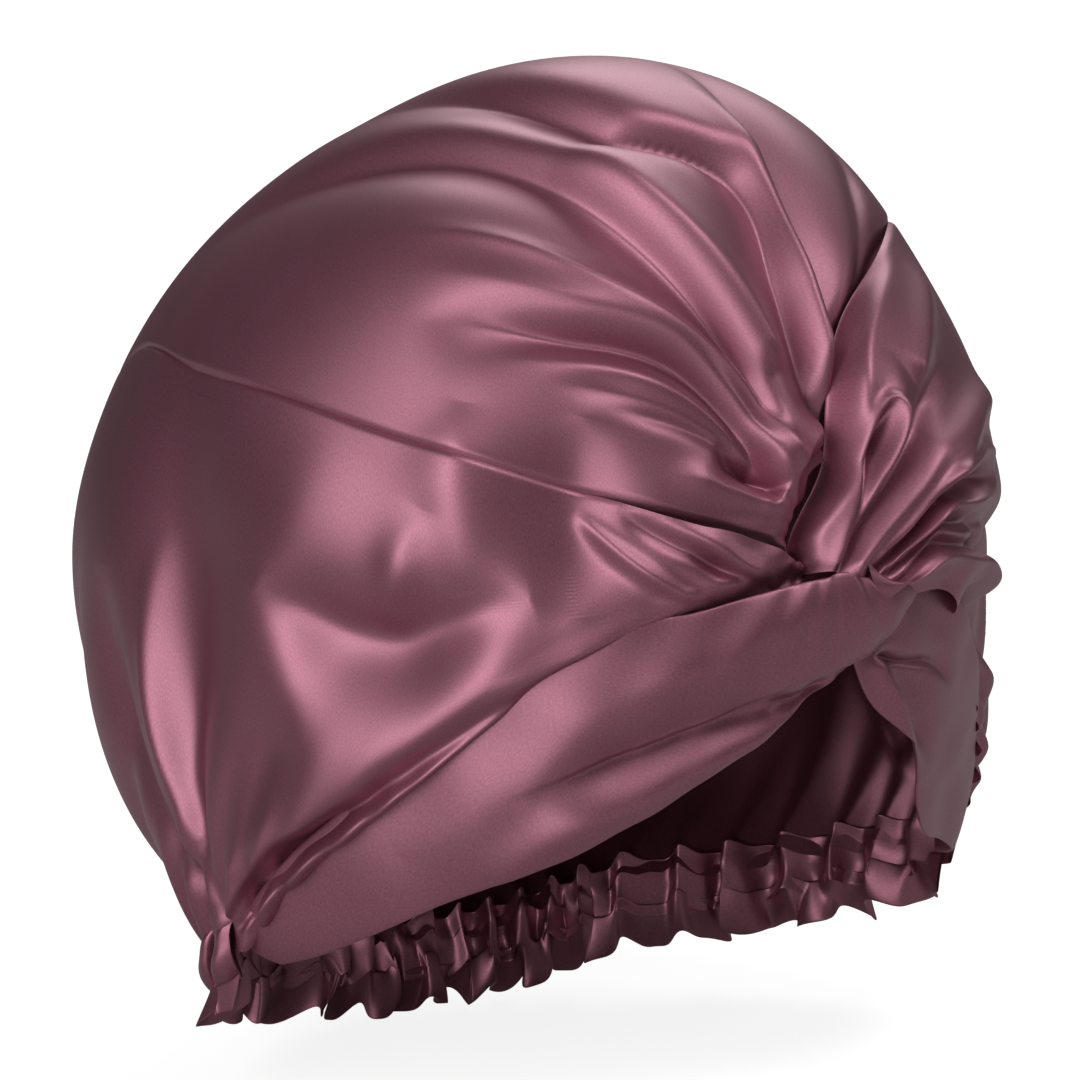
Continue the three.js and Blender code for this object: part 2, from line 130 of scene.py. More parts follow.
# Where the round form stands out or falls in: turn and rise of the middle, spread in degrees
BROAD_FORMS = [
    dict(turn=144, rise=57, spread=27, high=-5.5),
    dict(turn=-80, rise=62, spread=22, high=3.2),
    dict(turn=124, rise=-6, spread=20, high=4.5),
    dict(turn=-44, rise=-33, spread=21, high=-11),
    dict(turn=100, rise=-30, spread=16, high=3),
]


def broad_relief(d):
    out = np.zeros(d.shape[:-1])
    for form in BROAD_FORMS:
        away = np.degrees(np.arccos(np.clip(d @ direction(form["turn"], form["rise"]), -1, 1)))
        out += form["high"] * bell(away / form["spread"])
    return out


def toward(reach, bearing):
    w = np.tan(np.radians(reach) / 2) * np.exp(1j * np.radians(bearing))
    z = w / (1 + w / OPENING_PLACE)
    c = (1 - np.abs(z) ** 2) / (1 + np.abs(z) ** 2)
    return (c[..., None] * TWIST
            + (1 + c)[..., None] * (z.real[..., None] * UPWARD + z.imag[..., None] * RIGHTWARD))


# Half a degree: the step by which the size of a degree is measured on the bag
DEGREE_STEP = 0.5


class Spot:
    """Places on the bag, with the size of a degree there and the way in which bearing grows."""

    def __init__(self, reach, bearing):
        self.reach, self.bearing = np.broadcast_arrays(np.asarray(reach, float), np.asarray(bearing, float))
        self.d = toward(self.reach, self.bearing)
        self.r = bag_radius(self.d) + broad_relief(self.d)
        turned = toward(self.reach, self.bearing + DEGREE_STEP) - self.d
        size = np.linalg.norm(turned, axis=-1)
        self.turnward = turned / size[..., None]
        self.across = size / DEGREE_STEP * self.r
        moved = toward(self.reach + DEGREE_STEP, self.bearing) - self.d
        self.along = np.linalg.norm(moved, axis=-1) / DEGREE_STEP * self.r

    def points(self, out, shift=0.0):
        p = MIDDLE + self.d * (self.r + out)[..., None]
        return p + self.turnward * np.asarray(shift)[..., None]


# Edges of the pieces as rows of (reach, bearing), and the hem as rows of (bearing, reach)
SEAM_RIGHT = [(4, 130), (7, 93), (13, 74), (19, 66), (25, 58.5), (29, 54), (37, 47), (44, 40), (50, 33),
              (57, 24), (62, 16.5), (68, 12), (76, 8), (125, 7.5)]
SEAM_LEFT = [(0.3, 110), (3, 60), (5, 14), (7, 8), (8.5, 4), (10, -6), (11.5, -14.5), (13, -18),
             (16, -16.5), (20, -17), (25, -20), (31, -24), (40, -27), (48, -28), (70, -22), (125, -12)]
EDGE_RIGHT = [(4.1, 178), (6, 145), (8, 127), (13, 110), (22, 97), (29, 91), (37, 86), (46, 81), (55, 78.5),
              (72, 69), (85, 58), (92.5, 51.5)]
EDGE_LEFT = [(4.1, -178), (6, -153), (8, -135), (13, -115), (21, -97), (30, -95), (37, -92), (48, -88),
             (57, -83.5), (67, -78), (81, -67), (88.2, -60.5)]
HEM = [(-60, 88.2), (-52.5, 92.3), (-44.4, 96.8), (-32.3, 104.1), (-20.3, 109.3), (-8.4, 111.8), (0, 112),
       (12, 110), (24, 105.5), (36, 99), (44, 95), (49, 92.5)]
GATHER_RIGHT = 49
GATHER_LEFT = -59.5
HEM_MIDDLE = -5

# Folds: path as (reach, bearing) from the far end to the twist or the gather, wide in
# millimetres at both ends, high in millimetres (a valley is below zero), lean to one side, and
# roll is how far its steep side hangs over it. Strokes: line is rows of (reach, bearing, wide,
# high), and lean widens one side and narrows the other.
CROWN_FOLDS = [
    dict(path=[(62, 13), (44, 11), (26, 11), (11, 11)], wide=(15, 4.5), high=-8, lean=0.45, roll=0.8),
    dict(path=[(43, 29), (33, 28), (24, 24), (15, 26), (8, 31)], wide=(8, 5), high=-8, lean=0.35, roll=1),
    dict(path=[(34, 36), (22, 33), (13, 31)], wide=(5, 3), high=-2.5),
    dict(path=[(18, 39), (14, 38), (8, 32)], wide=(4.5, 3), high=-6, lean=0.2, roll=0.8),
    dict(path=[(56, 4), (39, 3), (34, -6), (26, -7), (18, -10), (11, -20)],
         wide=(13, 5), high=-9, lean=0.35, roll=0.8),
    dict(path=[(46, -8), (34, -11), (28, -13), (18, -20), (10, -26)],
         wide=(9, 4), high=-7, lean=-0.45, roll=-1),
    dict(path=[(44, -20), (33, -22), (24, -22)], wide=(4, 3), high=-2),
    dict(path=[(42, 8), (33, 7), (26, 5), (18, 2)], wide=(10, 5), high=4.5),
    dict(path=[(46, 20), (38, 20), (31, 20), (24, 17), (18, 12), (12, 11), (6, 10)],
         wide=(4, 2.6), high=2.8),
    dict(path=[(42, -6), (34, -8.5), (28, -10), (20, -14), (12, -24)], wide=(5, 3), high=4),
    dict(path=[(44, 24), (33, 24), (24, 20), (14, 19), (7, 22)], wide=(8, 4), high=4),
    dict(path=[(40, 34), (28, 31), (20, 29), (12, 30)], wide=(9, 4), high=3.5),
    dict(path=[(29, 38), (23, 37), (19, 36), (12, 34)], wide=(3, 2), high=-1.5),
    dict(path=[(22, 50), (16, 50), (8, 48)], wide=(6, 3), high=2),
]
# The shade under the bundle's edge
BUNDLE_EDGE_SHADE = [
    dict(path=[(40, -26), (31, -25.5), (24, -24), (17, -24), (12, -27)], wide=(7, 4), high=-6, lean=-0.2),
]
BUNDLE_FOLDS = [
    dict(path=[(60, -62), (48, -67), (40, -72), (30, -76)], wide=(8, 4), high=-7, roll=1),
    dict(path=[(38, -31), (26, -34), (20, -36)], wide=(8, 5), high=3),
    dict(path=[(42, -48), (30, -52), (20, -60), (12, -72)], wide=(9, 3), high=4),
    dict(path=[(66, -78), (52, -84), (42, -88), (33, -92)], wide=(7, 5), high=-8),
]
BUNDLE_STROKES = [
    # The front strip, the looped pocket at its head and the crease below the pocket
    dict(line=[(21, -27, 4, 0), (16, -34, 3.4, 2.5), (13, -34, 3, 3), (11, -30, 3, 3), (9, -24, 2.6, 2.5),
               (6.5, -18, 2, 1.5)]),
    dict(line=[(16.4, -29, 1.2, 0), (15, -29.5, 2, -5), (14, -30, 2.2, -7.5), (13, -29.5, 1.9, -6),
               (11.8, -28.5, 1.3, -4), (10.3, -27, 1, -2.5), (8.8, -25, 0.9, -1.5), (7.5, -22, 0.8, 0)]),
    dict(line=[(12.6, -24.5, 1.2, 0), (14.4, -25.5, 1.4, 2.2), (16.4, -29, 1.6, 3), (15.8, -34, 1.6, 2.6),
               (14, -35.5, 1.4, 2), (12, -34, 1.2, 0)]),
    # The pleats behind it, each a valley and a ridge
    dict(line=[(27, -39, 4, 0), (20.7, -42, 3, -4), (17, -45, 2.8, -5), (14.4, -44.5, 2.2, -5.5),
               (11.8, -39.5, 1.8, -5), (9.4, -33, 1.5, -4.5), (7.5, -29, 1.3, -3.5), (5.8, -25, 1, -2)]),
    dict(line=[(44, -47, 8, 0), (27, -51, 6, 2.5), (16, -55, 3.6, 3), (11.9, -51, 2.6, 3),
               (9, -43, 2, 2.5), (6.9, -37, 1.6, 2)]),
    dict(line=[(40, -60, 3, 0), (34, -61.5, 3, -5), (26, -65, 2.7, -6), (19, -68.7, 2.2, -6.5),
               (11.5, -64.7, 1.6, -5), (8.6, -57.5, 1.3, -3.5), (6.9, -53.7, 1, -2)]),
    dict(line=[(40, -57, 4, 0), (34, -58, 3.4, 3.5), (26, -60.5, 2.8, 4), (18, -63.5, 2.2, 3.5),
               (11.9, -59, 1.7, 3), (8.5, -50, 1.2, 2)]),
    dict(line=[(40, -67, 3, 0), (30, -73, 2.8, -5), (21.8, -78, 2.2, -6), (13.7, -79.4, 1.7, -5),
               (10.4, -72.2, 1.3, -3.5), (8, -66, 1, -2)]),
    dict(line=[(40, -63.5, 3, 0), (30, -68.5, 2.6, 3.5), (20, -73.5, 2.2, 3.5), (13, -72, 1.6, 3),
               (9.5, -65, 1.2, 2)]),
    dict(line=[(44, -71, 3, 0), (36, -75, 3, -5), (24, -84.5, 2.6, -6), (16, -88, 2, -5),
               (11, -84, 1.4, -3), (8, -78, 1, -2)]),
    dict(line=[(53, -71, 4, 0), (46, -74.5, 5, 4), (38, -78, 5, 5.5), (29, -84, 4, 4.5), (20, -92, 3, 3),
               (12, -108, 2, 1)]),
    # The notches above and below the lobe at the left, and the hollow cloth under it
    dict(line=[(62, -57, 4, 0), (54, -60, 6, -5), (49, -62, 6, -7.5), (42, -65, 4, -5), (34, -70, 3, -1)]),
    dict(line=[(66, -70, 5, 0), (57, -74, 7, -8), (51, -78, 7, -11), (43, -85, 5, -9), (34, -92, 4, -5)]),
    dict(line=[(44, -68, 8, 0), (52, -70, 14, -5), (62, -71, 15, -6), (72, -69, 10, -1)]),
]
SIDE_FOLDS = [
    dict(path=[(21, 72), (15, 92), (10, 112)], wide=(4, 3), high=-2, roll=0.5),
]
# A crest and a hollow that run across the seam between the crown and the right side
SHARED_STROKES = [
    dict(line=[(39, 38, 8, 0), (40.5, 45, 12, 3), (42.5, 53, 11, 3), (45.5, 60, 8, 1)]),
    dict(line=[(30, 40, 9, 0), (30.5, 47, 14, -4), (31.5, 56, 16, -6.5), (33.5, 66, 15, -5.5),
               (37, 76, 11, 0)]),
]
SIDE_STROKES = [
    # The deep valley left of the middle and the two small folds beyond it, down to the gather
    dict(line=[(55, 22, 18, 0), (60, 29, 22, -5), (65, 34, 21, -10), (70, 37.3, 17, -11),
               (75, 39.8, 11, -10), (80, 42.2, 7, -7), (85, 45, 4, -4), (90, 47.2, 2, -2)], lean=0.2),
    dict(line=[(70, 26, 8, 0), (75.5, 29.5, 9, -4.5), (79, 32.5, 8, -5.5), (83, 37.5, 6, -5),
               (90, 45.5, 2, -2)]),
    dict(line=[(64, 30, 5, 0), (69.5, 32.5, 4.5, 2), (73, 34.5, 4, 3), (77, 37.5, 3, 3), (84, 43.5, 2, 1)]),
    # The broad bulge in the middle
    dict(line=[(47, 36, 16, 0), (53, 41, 15, 2), (59, 45, 12, 2), (64, 51, 11, 2.5), (69, 57, 10, 2),
               (75, 56, 8, 1.5), (83, 50.5, 4, 1)]),
    # The ridge along the band and the thin folds under it
    dict(line=[(33, 87, 4, 0), (43, 80.5, 8, 2.5), (50, 76, 12, 5), (58, 72, 15, 7), (66, 67, 15, 8),
               (73, 61.3, 11, 8), (80, 54.7, 6, 6), (89, 49, 2.5, 2.5)], lean=-0.5),
    dict(line=[(40, 84, 3, 0), (52, 77.3, 3.4, -3.5), (62, 72.3, 3.8, -6), (70, 67, 3.8, -6.5),
               (77, 61.3, 3, -6), (84, 55, 2, -4), (90, 50.7, 1.2, -1.5)], lean=-0.2),
    dict(line=[(58, 76, 2.4, 0), (66, 71.5, 2.8, 3), (72, 67.2, 3, 4), (79, 61.2, 2.6, 4),
               (85, 56, 2, 3), (90, 51.5, 1.4, 1)]),
    # The dent and the hollow beside it
    dict(line=[(60, 43, 8, 0), (59.2, 47.5, 12, -6), (58, 53.5, 14, -9.5), (55, 59.4, 14, -10),
               (50.5, 62.5, 12, -8), (45, 65, 10, -4), (40, 68, 9, 0)], lean=-0.1),
    dict(line=[(44.5, 48.5, 8, 0), (48.5, 52.5, 7, 3), (52.5, 56, 5, 1.5)]),
    # Puckers beside the twist
    dict(line=[(31.5, 56.5, 2, 0), (29.8, 62.5, 2.6, 2), (27.3, 72, 3, 3), (23, 88, 2.4, 2),
               (20, 96, 2, 0)]),
    dict(line=[(27, 58, 2, 0), (24, 66, 2.6, -2), (19, 79, 2.6, -2.5), (15, 94, 2, -1)]),
    dict(line=[(23, 62, 2, 0), (18, 73, 3, 2), (14.6, 87, 2.8, 2.4), (11, 104, 2, 1)]),
]
# The folds at a gather, which the left side has mirrored
GATHER_FOLDS = [
    dict(path=[(60, 35), (68, 35.5), (73, 35.5), (79, 38), (86, 44), (91, 47.5)], wide=(9, 3), high=6),
    dict(path=[(65, 39), (71, 40), (77, 43), (82, 45.5), (88, 47)], wide=(6, 2.4), high=-6.5),
    dict(path=[(60, 41), (68, 42), (74, 46), (80, 47.5), (86, 48)], wide=(6, 2.6), high=5),
    dict(path=[(52, 42), (60, 46), (66, 51.5), (73, 54), (80, 51.5), (87, 49)],
         wide=(14, 3), high=-8.5, lean=-0.25),
    dict(path=[(50, 73), (63, 66), (70, 60), (77, 54.5), (83, 51.5), (89, 49.7)], wide=(8, 2.6), high=5),
    dict(path=[(41, 79), (53, 73.5), (64, 67.5), (73, 61.5), (82, 55), (89, 51)],
         wide=(3, 1.8), high=-4.5, roll=0.8),
    dict(path=[(60, 71), (68, 67), (76, 61.5), (87, 53)], wide=(2.5, 1.6), high=1.5),
    dict(path=[(54, 76), (66, 70), (76, 64), (88, 54)], wide=(2.5, 1.6), high=-1.8),
    dict(path=[(72, 24), (82, 33), (89, 42)], wide=(6, 3), high=-3),
]
BACK_FOLDS = [
    dict(path=[(70, 6), (95, 4), (122, 5)], wide=(14, 7), high=-4.5),
    dict(path=[(66, 22), (86, 20), (116, 20)], wide=(16, 7), high=-5),
    dict(path=[(74, 31), (90, 32), (106, 34)], wide=(11, 6), high=-4),
]
LEFT_BAND_FOLDS = [
    dict(path=[(60, -128), (45, -136), (32, -141), (21, -147)], wide=(9, 3), high=4.5),
    dict(path=[(64, -114), (45, -124), (32, -132), (22, -144)], wide=(8, 3), high=-5),
    dict(path=[(48, -104), (37, -113), (29, -131), (22, -147)], wide=(4, 2), high=-3, lean=0.4, roll=1),
]

# A fold fades over these shares of its length, and its profile is a bell of this power
FADE_FAR = 0.35
FADE_NEAR = 0.12
FOLD_SHARP = 1.6
ROLL_WIDTH = 1.3

# The twist is a little to the left, so a place mirrored to the left side has other angles
MIRROR_TURN = 9.5
MIRROR_NEARER = 0.12
HEM_FAR = 112


def mirrored(folds):
    return [{**fold, "path": [(reach - MIRROR_NEARER * max(HEM_FAR - reach, 0), -bearing - MIRROR_TURN)
                              for reach, bearing in fold["path"]],
             "lean": -fold.get("lean", 0), "roll": -fold.get("roll", 0)} for fold in folds]


def folded(folds, spot):
    """How far the folds lift the cloth, and how far they push it sideways."""
    out = np.zeros(spot.reach.shape)
    shift = np.zeros(spot.reach.shape)
    for fold in folds:
        path = fold["path"]
        t = (spot.reach - path[0][0]) / (path[-1][0] - path[0][0])
        off = (spot.bearing - along(sorted(path), spot.reach)) * spot.across
        lean = fold.get("lean", 0)
        width = mix(fold["wide"][0], fold["wide"][1], np.clip(t, 0, 1))
        ends = np.where((t > 0) & (t < 1), smooth(t / FADE_FAR) * smooth((1 - t) / FADE_NEAR), 0)
        side = width * np.where(off > 0, 1 + lean, 1 - lean)
        out += fold["high"] * ends * bell(off / side, FOLD_SHARP)
        roll = fold.get("roll", 0)
        if roll:
            steep = width * (1 - abs(lean))
            shift += roll * ends * bell((off + np.sign(roll) * steep) / (ROLL_WIDTH * steep))
    return out, shift


# Strokes: the step along them in millimetres, how round their crest is, how many widths they
# reach, the share of the width over which a lean turns, and how strongly the nearest step counts
STROKE_STEP = 0.9
STROKE_SOFTNESS = 0.14
STROKE_SHARP = 1.8
STROKE_WIDTHS = 2.2
LEAN_TURN = 0.3
NEAREST_EASE = 0.3
NEAREST_POWER = 6


def stroke_knots(line):
    """Evenly close points of a stroke on the bag, with its width and its height at each."""
    rows = np.array(line, float)
    ends = Spot(rows[:, 0], rows[:, 1]).points(np.zeros(len(rows)))
    length = np.linalg.norm(np.diff(ends, axis=0), axis=1).sum()
    t = np.linspace(0, len(rows) - 1, int(length / STROKE_STEP) + 2)
    reach, bearing, wide, high = [along(list(enumerate(rows[:, k])), t) for k in range(4)]
    return Spot(reach, bearing).points(np.zeros(len(t))), wide, high


def stroked(strokes, spot):
    """How far the strokes lift the cloth."""
    at = spot.points(np.zeros(spot.reach.shape))
    out = np.zeros(spot.reach.shape)
    for stroke in strokes:
        knots, wide, high = stroke_knots(stroke["line"])
        lean = stroke.get("lean", 0)
        middle = knots.mean(axis=0)
        size = np.linalg.norm(knots - middle, axis=1).max() + STROKE_WIDTHS * (1 + abs(lean)) * wide.max()
        near = np.linalg.norm(at - middle, axis=-1) < size
        p = at[near]
        up = spot.d[near]
        total, apart, width, value = [np.zeros(len(p)) for _ in range(4)]
        for i in range(len(knots) - 1):
            step = knots[i + 1] - knots[i]
            share = np.clip((p - knots[i]) @ step / (step @ step), 0, 1)
            off = p - knots[i] - share[:, None] * step
            away = np.linalg.norm(off, axis=1)
            beside = np.einsum("ij,ij->i", np.cross(step, off), up) / np.linalg.norm(step)
            side = np.tanh(beside / (LEAN_TURN * wide[i]))
            weight = (away * away + NEAREST_EASE) ** -NEAREST_POWER
            total += weight
            apart += weight * away
            width += weight * mix(wide[i], wide[i + 1], share) * (1 + lean * side)
            value += weight * mix(high[i], high[i + 1], share)
        out[near] += value / total * bell(np.hypot(apart / width, STROKE_SOFTNESS), STROKE_SHARP)
    return out


# The hem: its lift at the nape and on the left, the gathers and the fine gathers between them,
# each with its height and how far up the cloth it reaches, and the unevenness along the hem
NAPE_LIFT = 10
LEFT_LIFT = 6
LEFT_LIFT_BEARING = -26
LEFT_LIFT_SPREAD = 11
LIFT_REACH = 34
GATHER_HIGH = 2.4
GATHER_REACH = 30
FINE_GATHER_HIGH = 0.7
FINE_GATHER_REACH = 12
FINE_GATHER_START = 1.3
# Rows of size, rate and start
GATHERS_UNEVEN = [(1.1, 5.3, 0.4), (0.9, 11.7, 1.9), (0.5, 23, 0)]
RUFFLE_UNEVEN = [(1.2, 4.1, 2), (0.8, 9.3, 0)]


def hem_reach(bearing):
    return along(HEM, bearing)


def hem_share(bearing):
    """From -1 at the left gather through 0 at the nape to 1 at the right one."""
    half = np.where(bearing > HEM_MIDDLE, GATHER_RIGHT - HEM_MIDDLE, HEM_MIDDLE - GATHER_LEFT)
    return (bearing - HEM_MIDDLE) / half


def hem_phase(bearing):
    """The gathers' phase along the hem, uneven as elastic draws it."""
    x = hem_share(bearing)
    return np.pi * HEM_GATHERS * (x + 1) + waves(GATHERS_UNEVEN, x)


def hem_relief(spot):
    """The hem's lift at the nape and on the left, and its gathers."""
    to_hem = (hem_reach(spot.bearing) - spot.reach) * spot.along
    nape = np.cos(np.pi / 2 * np.clip(np.abs(hem_share(spot.bearing)), 0, 1))
    left = LEFT_LIFT * bell((spot.bearing - LEFT_LIFT_BEARING) / LEFT_LIFT_SPREAD)
    lift = -(NAPE_LIFT * nape + left) * bell(to_hem / LIFT_REACH)
    phase = hem_phase(spot.bearing)
    gathers = GATHER_HIGH * np.sin(phase) * bell(to_hem / GATHER_REACH)
    fine = FINE_GATHER_HIGH * np.sin(2 * phase + FINE_GATHER_START) * bell(to_hem / FINE_GATHER_REACH)
    return lift + gathers + fine


# Slow unevenness of soft cloth: a share of its size, rates by reach and by bearing, and a start
RIPPLES = [(1, 0.21, 0.13, 0), (0.8, 0.17, -0.29, 1), (0.5, 0.43, 0.05, 2)]
PANEL_RIPPLE = 0.35
BAND_RIPPLE = 0.3


def ripples(spot, size=PANEL_RIPPLE):
    return size * sum(part * np.sin(by_reach * spot.reach + by_bearing * spot.bearing + start)
                      for part, by_reach, by_bearing, start in RIPPLES)


TWIST_HOLE_DEPTH = 16
TWIST_HOLE_RADIUS = 9


def twist_hole(spot, depth=TWIST_HOLE_DEPTH, radius=TWIST_HOLE_RADIUS):
    return -depth * bell(spot.reach * spot.along / radius)


def seam_groove(spot, seam):
    off = (spot.bearing - along(seam, spot.reach)) * spot.across
    return -SEAM_DEPTH * bell(off / SEAM_WIDTH, SEAM_SHARP)


def sunk(off, depth, before, over):
    """A drop of the cloth that begins before the line where off is zero."""
    return -depth * smooth((off + before) / over)


# Rows of a panel lie closer together near the twist, and the hem is found by halving steps
ROW_CROWDING = 1.15
HEM_STEPS = 14


def panel_grid(lower, upper, size, start, lower_under=None, upper_under=None):
    """A grid of places from near the twist to the hem. The under values are how many degrees the
    cloth goes on beneath its neighbour, read at each reach."""
    columns, rows = size
    v = np.linspace(0, 1, rows) ** ROW_CROWDING
    u = np.linspace(0, 1, columns)
    far = np.full(columns, float(HEM_FAR))
    for _ in range(HEM_STEPS):
        share = mix(along(lower, far), along(upper, far), u)
        far = (far + hem_reach(share)) / 2
    reach = start + v[None, :] * (far[:, None] - start)
    low = along(lower, reach)
    high = along(upper, reach)
    if lower_under:
        low = low - along(lower_under, reach)
    if upper_under:
        high = high + along(upper_under, reach)
    return Spot(reach, mix(low, high, u[:, None]))


def cloth(name, points, node, material, closed=False):
    """Makes a grid of points in millimetres into a sheet of cloth that stands for a node."""
    if closed:
        points = np.concatenate([points, points[:, :1]], axis=1)
    columns, rows = points.shape[:2]
    index = np.arange(columns * rows).reshape(columns, rows)
    if closed:
        index[:, -1] = index[:, 0]
    quads = np.stack([index[:-1, :-1], index[1:, :-1], index[1:, 1:], index[:-1, 1:]], -1).reshape(-1, 4)
    used, quads = np.unique(quads, return_inverse=True)
    quads = quads.reshape(-1, 4)
    u = np.zeros((columns, rows))
    u[1:] = np.cumsum(np.linalg.norm(np.diff(points, axis=0), axis=-1), axis=0)
    v = np.zeros((columns, rows))
    v[:, 1:] = np.cumsum(np.linalg.norm(np.diff(points, axis=1), axis=-1), axis=1)
    uv = np.stack([u - u[columns // 2], v], -1).reshape(-1, 2)[used] * MM
    mesh = bpy.data.meshes.new(name)
    mesh.vertices.add(len(used))
    mesh.vertices.foreach_set("co", (points.reshape(-1, 3)[used] * MM).ravel())
    mesh.loops.add(quads.size)
    mesh.loops.foreach_set("vertex_index", quads.ravel().astype(np.int32))
    mesh.polygons.add(len(quads))
    mesh.polygons.foreach_set("loop_start", np.arange(0, quads.size, 4, dtype=np.int32))
    mesh.update(calc_edges=True)
    mesh.polygons.foreach_set("use_smooth", np.ones(len(quads), dtype=bool))
    layer = mesh.uv_layers.new(name="cloth")
    layer.data.foreach_set("uv", uv[quads.ravel()].ravel())
    mesh.materials.append(material)
    piece = bpy.data.objects.new(name, mesh)
    bpy.context.scene.collection.objects.link(piece)
    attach(piece, "root")
    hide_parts(node)


# Satin: the gloss, the threads' floats along and across the cloth, the slow change of tone, and
# how much the floats change the colour and lift the surface, in metres
GLOSS = {"Metallic": 0.82, "Specular IOR Level": 0.5, "IOR": 1.7, "Coat Weight": 0.8, "Coat Roughness": 0.45,
         "Coat IOR": 1.6}
FLOATS = (1100, 2800, 1)
FLOAT_DETAIL = 2
TONE_SCALE = 26
TONE_DETAIL = 3
NOISE_LOW = 0.3
NOISE_HIGH = 0.7
GRAIN = 0.225
BUMP_STRENGTH = 0.3
BUMP_HEIGHT = 0.00006


def noise(tree, vector, scale, detail):
    node = tree.nodes.new("ShaderNodeTexNoise")
    node.inputs["Scale"].default_value = scale
    node.inputs["Detail"].default_value = detail
    tree.links.new(vector, node.inputs["Vector"])
    return node.outputs["Fac"]


def spread_over(tree, value, low, high):
    """The noise's middle range spread from low to high."""
    node = tree.nodes.new("ShaderNodeMapRange")
    node.inputs["From Min"].default_value = NOISE_LOW
    node.inputs["From Max"].default_value = NOISE_HIGH
    node.inputs["To Min"].default_value = low
    node.inputs["To Max"].default_value = high
    tree.links.new(value, node.inputs["Value"])
    return node.outputs["Result"]


def satin(name, light, dark, roughness):
    """Satin: a base colour that varies slowly, fine floats of thread and a broad soft gloss."""
    material = bpy.data.materials.new(name)
    material.use_nodes = True
    tree = material.node_tree
    shader = tree.nodes["Principled BSDF"]
    shader.inputs["Roughness"].default_value = roughness
    for socket, value in GLOSS.items():
        shader.inputs[socket].default_value = value
    coords = tree.nodes.new("ShaderNodeTexCoord")
    cloth_way = tree.nodes.new("ShaderNodeMapping")
    cloth_way.inputs["Scale"].default_value = FLOATS
    tree.links.new(coords.outputs["UV"], cloth_way.inputs["Vector"])
    floats = noise(tree, cloth_way.outputs["Vector"], 1, FLOAT_DETAIL)
    slow = noise(tree, coords.outputs["Object"], TONE_SCALE, TONE_DETAIL)
    base = tree.nodes.new("ShaderNodeMix")
    base.data_type = "RGBA"
    base.inputs["A"].default_value = (*dark, 1)
    base.inputs["B"].default_value = (*light, 1)
    tree.links.new(spread_over(tree, slow, 0, 1), base.inputs["Factor"])
    grained = tree.nodes.new("ShaderNodeVectorMath")
    grained.operation = "SCALE"
    tree.links.new(base.outputs["Result"], grained.inputs[0])
    tree.links.new(spread_over(tree, floats, 1 - GRAIN, 1 + GRAIN), grained.inputs["Scale"])
    tree.links.new(grained.outputs["Vector"], shader.inputs["Base Color"])
    bump = tree.nodes.new("ShaderNodeBump")
    bump.inputs["Strength"].default_value = BUMP_STRENGTH
    bump.inputs["Distance"].default_value = BUMP_HEIGHT
    tree.links.new(floats, bump.inputs["Height"])
    tree.links.new(bump.outputs["Normal"], shader.inputs["Normal"])
    return material


SATIN = satin("mauve_satin", (0.40, 0.13, 0.2), (0.35, 0.11, 0.17), 0.48)
HEM_SATIN = satin("hem_satin", (0.40, 0.13, 0.195), (0.34, 0.105, 0.16), 0.42)


# The crown: columns and rows, the reach where it starts, how many degrees it goes on beneath its
# neighbours as rows of (reach, degrees), and how it sinks beneath them near the twist, as depth,
# start before the seam and length
CROWN_GRID = (300, 320)
CROWN_START = 1.5
CROWN_UNDER = [(3, 20), (8, 14), (18, 9), (28, 4), (34, 2.5), (125, 2.5)]
CROWN_SINKS_FROM = 30
CROWN_SINKS_OVER = 14
CROWN_SINKS_RIGHT = (3.5, 4, 5)
CROWN_SINKS_LEFT = (5, 5, 6)
BUNDLE_SEAM_FROM = 28
RIGHT_SEAM_FROM = 22
SEAM_FADE = 8


def crown_panel():
    spot = panel_grid(SEAM_LEFT, SEAM_RIGHT, CROWN_GRID, CROWN_START, CROWN_UNDER, CROWN_UNDER)
    folds = CROWN_FOLDS + BACK_FOLDS + mirrored(BACK_FOLDS) + BUNDLE_EDGE_SHADE
    out, shift = folded(folds, spot)
    out += stroked(SHARED_STROKES, spot) + twist_hole(spot) + hem_relief(spot) + ripples(spot)
    out += seam_groove(spot, SEAM_RIGHT)
    out += seam_groove(spot, SEAM_LEFT) * smooth((spot.reach - BUNDLE_SEAM_FROM) / SEAM_FADE)
    near = smooth((CROWN_SINKS_FROM - spot.reach) / CROWN_SINKS_OVER)
    right_off = (spot.bearing - along(SEAM_RIGHT, spot.reach)) * spot.across
    left_off = (along(SEAM_LEFT, spot.reach) - spot.bearing) * spot.across
    out += near * (sunk(right_off, *CROWN_SINKS_RIGHT) + sunk(left_off, *CROWN_SINKS_LEFT))
    out -= UNDER_SEAM * (smooth(right_off / UNDER_SEAM_OVER) + smooth(left_off / UNDER_SEAM_OVER))
    return spot.points(out, shift)


# The right side: a shoulder beside the twist, the sinking into the twist's hole, the tuck of its
# edge beneath the band near the twist, and the lip of its edge along the band
RIGHT_GRID = (260, 340)
RIGHT_START = 3.5
RIGHT_UNDER = [(3, 14), (13, 14), (20, 9), (24, 3), (27, 0), (92.5, 0)]
SHOULDER_HIGH = 4.5
SHOULDER_REACH = 15
SHOULDER_NEAR = 9
SHOULDER_FAR = 16
RIGHT_HOLE_DEPTH = 9
RIGHT_HOLE_RADIUS = 10
RIGHT_TUCK_FROM = 27
RIGHT_TUCK_OVER = 8
RIGHT_TUCK = (5, 7, 9)
LIP_HIGH = 1.5
LIP_WIDTH = 9
LIP_DROP = 4.0
LIP_ROLL = 1.1


